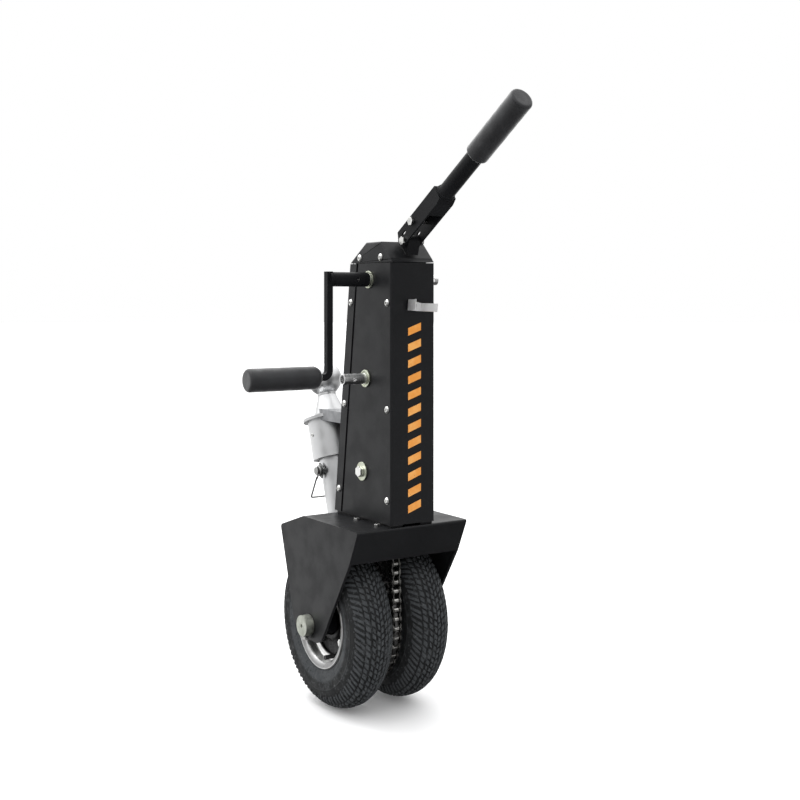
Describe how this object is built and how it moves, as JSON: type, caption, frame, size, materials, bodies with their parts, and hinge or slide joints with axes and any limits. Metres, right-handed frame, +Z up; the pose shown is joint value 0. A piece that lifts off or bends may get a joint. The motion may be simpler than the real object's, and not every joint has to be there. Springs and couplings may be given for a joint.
{
  "type": "trailer jack wheel",
  "caption": "Manual trailer dolly: chain-driven twin tyres under a folded fork, gear casing with crank shafts, leaning hitch-ball post and folding steering handle.",
  "frame": {"origin": "on the ground, under the middle of the wheel axle", "axes": "+Z up, +X along the wheel axle toward the side without the crank, the casing's front face toward -Y"},
  "size_m": [0.3124, 0.4906, 0.7984],
  "materials": {
    "black_coat": "satin powder coat",
    "zinc_fastener": "bright zinc plate",
    "olive_zinc": "yellow-green passivated zinc",
    "plain_steel": "satin",
    "shaft_steel": "drawn bar",
    "chain_steel": "oiled",
    "sprocket_steel": "oiled",
    "rim_steel": "zinc plate",
    "jack_alloy": "satin cast and turned",
    "spring_steel": "bright",
    "bush_brass": "satin",
    "stem_rubber": "matte",
    "tyre_rubber": "matte",
    "grip_foam": "matte foam",
    "decal": "printed"
  },
  "bodies": {
    "frame": {"fork": "black_coat", "stiffener": "black_coat", "fork_bolts": "zinc_fastener", "bearing_plate_left": "black_coat", "bearing_plate_right": "black_coat", "plate_spacers": "plain_steel", "front_cover": "black_coat", "rear_cover": "black_coat", "cover_screws": "zinc_fastener", "top_cap": "black_coat", "cap_screws": "zinc_fastener", "front_decal": "decal", "tool_clip": "spring_steel", "clip_rivet": "zinc_fastener", "handle_lug": "black_coat", "fold_bolt": "zinc_fastener", "shaft_bushes": "olive_zinc", "mid_bolt": "zinc_fastener", "mid_nut": "zinc_fastener", "mid_washers": "olive_zinc", "mid_sleeve": "plain_steel", "upper_chain": "chain_steel", "middle_chain": "chain_steel", "main_chain": "chain_steel", "axle_bushes": "bush_brass", "jack_tube": "jack_alloy", "jack_sleeve": "jack_alloy", "jack_bracket": "jack_alloy", "sleeve_screw": "zinc_fastener"},
    "wheels": {"axle": "shaft_steel", "axle_sprocket": "sprocket_steel", "axle_spacers": "plain_steel", "axle_collars": "rim_steel", "collar_screws": "zinc_fastener", "wheel_hubs": "sprocket_steel", "rim_left": "rim_steel", "rim_right": "rim_steel", "rim_bolts": "zinc_fastener", "valve_stems": "stem_rubber", "tyre_left": "tyre_rubber", "tyre_right": "tyre_rubber"},
    "mid_drive": {"mid_hub": "plain_steel", "mid_driven_sprocket": "sprocket_steel", "mid_driver_sprocket": "sprocket_steel"},
    "lower_drive": {"lower_shaft": "shaft_steel", "lower_driven_sprocket": "sprocket_steel", "lower_driver_sprocket": "sprocket_steel"},
    "upper_drive": {"upper_shaft": "shaft_steel", "upper_sprocket": "sprocket_steel"},
    "crank": {"crank_arm": "black_coat", "grip_washer": "zinc_fastener"},
    "hand_grip": {"crank_grip": "grip_foam"},
    "post": {"ball_post": "jack_alloy"},
    "pin": {"lock_pin": "plain_steel"},
    "bail": {"pin_bail": "plain_steel"},
    "handle": {"yoke": "black_coat", "yoke_bolt": "zinc_fastener", "handle_tube": "black_coat", "handle_grip": "grip_foam"}
  },
  "joints": [
    {"name": "wheel_spin", "type": "hinge", "parent": "frame", "child": "wheels", "pos_m": [0, 0, 0.116], "axis": [1, 0, 0], "continuous": true},
    {"name": "mid_spin", "type": "hinge", "parent": "frame", "child": "mid_drive", "pos_m": [0, -0.0525, 0.3255], "axis": [1, 0, 0], "continuous": true},
    {"name": "lower_shaft_spin", "type": "hinge", "parent": "frame", "child": "lower_drive", "pos_m": [0, -0.0615, 0.45], "axis": [1, 0, 0], "continuous": true},
    {"name": "upper_shaft_spin", "type": "hinge", "parent": "frame", "child": "upper_drive", "pos_m": [0, -0.0695, 0.5815], "axis": [1, 0, 0], "continuous": true},
    {"name": "crank_pull_off", "type": "slide", "parent": "upper_drive", "child": "crank", "axis": [-1, 0, 0], "range_m": [0, 0.06]},
    {"name": "crank_grip_spin", "type": "hinge", "parent": "crank", "child": "hand_grip", "pos_m": [-0.16, -0.0695, 0.4543], "axis": [1, 0, 0], "continuous": true},
    {"name": "ball_post_lift", "type": "slide", "parent": "frame", "child": "post", "axis": [0, 0.309, 0.9511], "range_m": [0, 0.045]},
    {"name": "lock_pin_pull", "type": "slide", "parent": "frame", "child": "pin", "axis": [-1, 0, 0], "range_m": [0, 0.075]},
    {"name": "bail_swing", "type": "hinge", "parent": "pin", "child": "bail", "pos_m": [-0.033, 0.06909, 0.31106], "axis": [1, 0, 0], "range_deg": [0, 60]},
    {"name": "handle_fold", "type": "hinge", "parent": "frame", "child": "handle", "pos_m": [0, -0.119, 0.6315], "axis": [1, 0, 0], "range_deg": [-25, 90]}
  ],
  "couplings": [
    {"joint": "mid_spin", "follows": "wheel_spin", "ratio": 3.3333},
    {"joint": "lower_shaft_spin", "follows": "wheel_spin", "ratio": 5.5556},
    {"joint": "upper_shaft_spin", "follows": "wheel_spin", "ratio": 9.2593}
  ]
}
